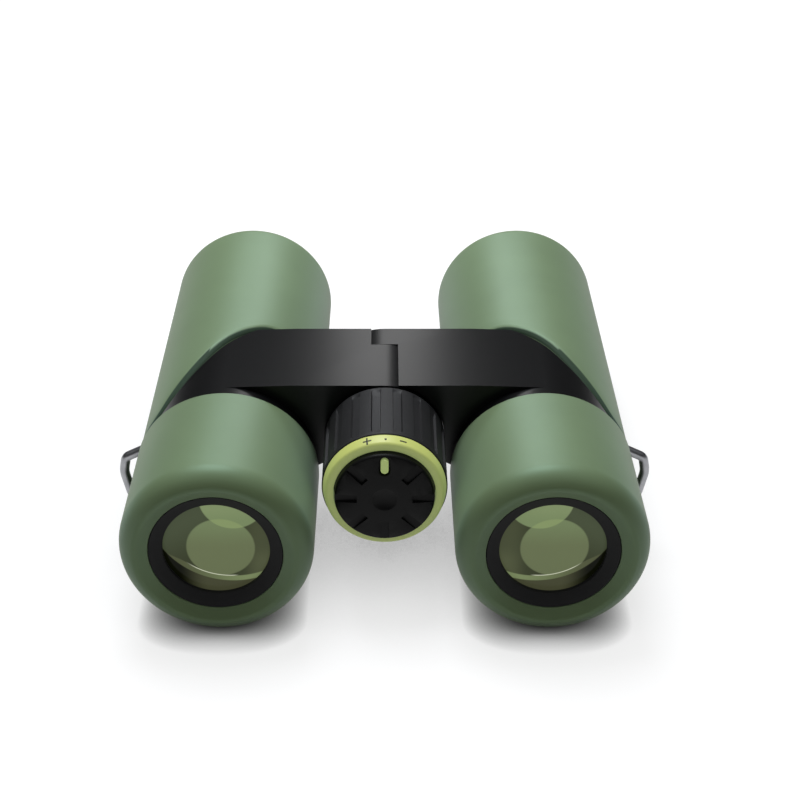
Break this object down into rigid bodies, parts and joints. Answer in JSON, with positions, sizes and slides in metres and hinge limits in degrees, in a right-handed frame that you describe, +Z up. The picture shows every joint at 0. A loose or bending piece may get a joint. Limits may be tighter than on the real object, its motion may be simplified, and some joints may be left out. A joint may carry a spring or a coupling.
{
  "type": "binoculars",
  "caption": "Compact roof-prism binoculars with rubber-armoured barrels on a folding hinge, a centre focus wheel, a trim knob and twist-out eyecups.",
  "frame": {"origin": "middle of the footprint at the bottom of the barrels, with the hinge fully open", "axes": "+X from the left barrel to the right barrel as the user sees them, +Y from the eyes towards the scene along the barrels, +Z up"},
  "size_m": [0.117, 0.1192, 0.0399],
  "materials": {
    "casting_paint": "satin black paint on a light-alloy casting",
    "armour_rubber": "matte grey-green moulded rubber",
    "cup_rubber": "matte grey-green moulded rubber",
    "lug_steel": "formed wire",
    "inner_black": "matte black moulding",
    "ring_black": "matte black moulding",
    "click_black": "smooth black acetal",
    "cap_black": "matte black moulding",
    "knob_black": "matte black turning",
    "coated_glass": "polished, coated",
    "objective_glass": "polished, coated",
    "prism_glass": "polished",
    "shaft_steel": "turned",
    "carrier_brass": "turned and milled",
    "seal_rubber": "smooth moulded ring",
    "grip_rubber": "ribbed moulded rubber",
    "scale_lime": "satin moulding",
    "pointer_lime": "satin moulding"
  },
  "bodies": {
    "left_barrel": {"left_housing": "casting_paint", "left_armour": "armour_rubber", "left_strap_lug": "lug_steel", "left_eyepiece_tube": "inner_black", "left_eyepiece_ring": "ring_black", "left_eye_lens": "coated_glass", "left_eyepiece_doublet": "coated_glass", "left_field_stop": "inner_black", "left_prism_cage": "inner_black", "left_half_penta_prism": "prism_glass", "left_roof_prism": "prism_glass", "left_guide_rod": "shaft_steel", "left_objective_cell": "inner_black", "left_objective_lens": "objective_glass", "left_objective_retainer": "ring_black", "left_objective_seal": "seal_rubber"},
    "right_barrel": {"right_housing": "casting_paint", "right_armour": "armour_rubber", "right_strap_lug": "lug_steel", "right_eyepiece_tube": "inner_black", "right_eyepiece_ring": "ring_black", "right_eye_lens": "coated_glass", "right_eyepiece_doublet": "coated_glass", "right_field_stop": "inner_black", "right_prism_cage": "inner_black", "right_half_penta_prism": "prism_glass", "right_roof_prism": "prism_glass", "right_guide_rod": "shaft_steel", "right_objective_cell": "inner_black", "right_objective_lens": "objective_glass", "right_objective_retainer": "ring_black", "right_objective_seal": "seal_rubber", "hinge_tube": "shaft_steel", "hinge_cap": "cap_black"},
    "focus_wheel": {"focus_hub": "inner_black", "focus_grip": "grip_rubber", "scale_ring": "scale_lime", "focus_spindle": "shaft_steel"},
    "trim_knob": {"diopter_knob": "knob_black", "diopter_pointer": "pointer_lime"},
    "focus_carriage": {"focus_spool": "carrier_brass"},
    "left_lens_drive": {"left_focus_carrier": "carrier_brass", "left_focus_cell": "inner_black", "left_focus_lens": "prism_glass"},
    "right_lens_drive": {"right_focus_carrier": "carrier_brass"},
    "right_trim_cell": {"right_focus_cell": "inner_black", "right_focus_lens": "prism_glass"},
    "left_cup_turn": {"left_click_ring": "click_black"},
    "left_cup": {"left_eyecup": "cup_rubber"},
    "right_cup_turn": {"right_click_ring": "click_black"},
    "right_cup": {"right_eyecup": "cup_rubber"}
  },
  "joints": [
    {"name": "ipd_hinge", "type": "hinge", "parent": "left_barrel", "child": "right_barrel", "pos_m": [0, 0, 0.0269], "axis": [0, 1, 0], "range_deg": [0, 64]},
    {"name": "focus_turn", "type": "hinge", "parent": "left_barrel", "child": "focus_wheel", "pos_m": [0, 0, 0.0269], "axis": [0, 1, 0], "range_deg": [-225, 225]},
    {"name": "diopter_turn", "type": "hinge", "parent": "focus_wheel", "child": "trim_knob", "pos_m": [0, 0, 0.0269], "axis": [0, 1, 0], "range_deg": [-60, 60]},
    {"name": "carriage_slide", "type": "slide", "parent": "left_barrel", "child": "focus_carriage", "axis": [0, 1, 0], "range_m": [-0.0015, 0.0015]},
    {"name": "left_lens_slide", "type": "slide", "parent": "left_barrel", "child": "left_lens_drive", "axis": [0, 1, 0], "range_m": [-0.0015, 0.0015]},
    {"name": "right_lens_slide", "type": "slide", "parent": "right_barrel", "child": "right_lens_drive", "axis": [0, 1, 0], "range_m": [-0.0015, 0.0015]},
    {"name": "right_trim_slide", "type": "slide", "parent": "right_lens_drive", "child": "right_trim_cell", "axis": [0, 1, 0], "range_m": [-0.0008, 0.0008]},
    {"name": "left_cup_twist", "type": "hinge", "parent": "left_barrel", "child": "left_cup_turn", "pos_m": [-0.034, 0, 0.0199], "axis": [0, -1, 0], "range_deg": [0, 180]},
    {"name": "left_cup_rise", "type": "slide", "parent": "left_cup_turn", "child": "left_cup", "axis": [0, -1, 0], "range_m": [0, 0.008]},
    {"name": "right_cup_twist", "type": "hinge", "parent": "right_barrel", "child": "right_cup_turn", "pos_m": [0.034, 0, 0.0199], "axis": [0, -1, 0], "range_deg": [0, 180]},
    {"name": "right_cup_rise", "type": "slide", "parent": "right_cup_turn", "child": "right_cup", "axis": [0, -1, 0], "range_m": [0, 0.008]}
  ],
  "couplings": [
    {"joint": "carriage_slide", "follows": "focus_turn", "m_per_rad": 0.000381},
    {"joint": "left_lens_slide", "follows": "focus_turn", "m_per_rad": 0.000381},
    {"joint": "right_lens_slide", "follows": "focus_turn", "m_per_rad": 0.000381},
    {"joint": "right_trim_slide", "follows": "diopter_turn", "m_per_rad": 0.000763},
    {"joint": "left_cup_rise", "follows": "left_cup_twist", "m_per_rad": 0.002546},
    {"joint": "right_cup_rise", "follows": "right_cup_twist", "m_per_rad": 0.002546}
  ]
}
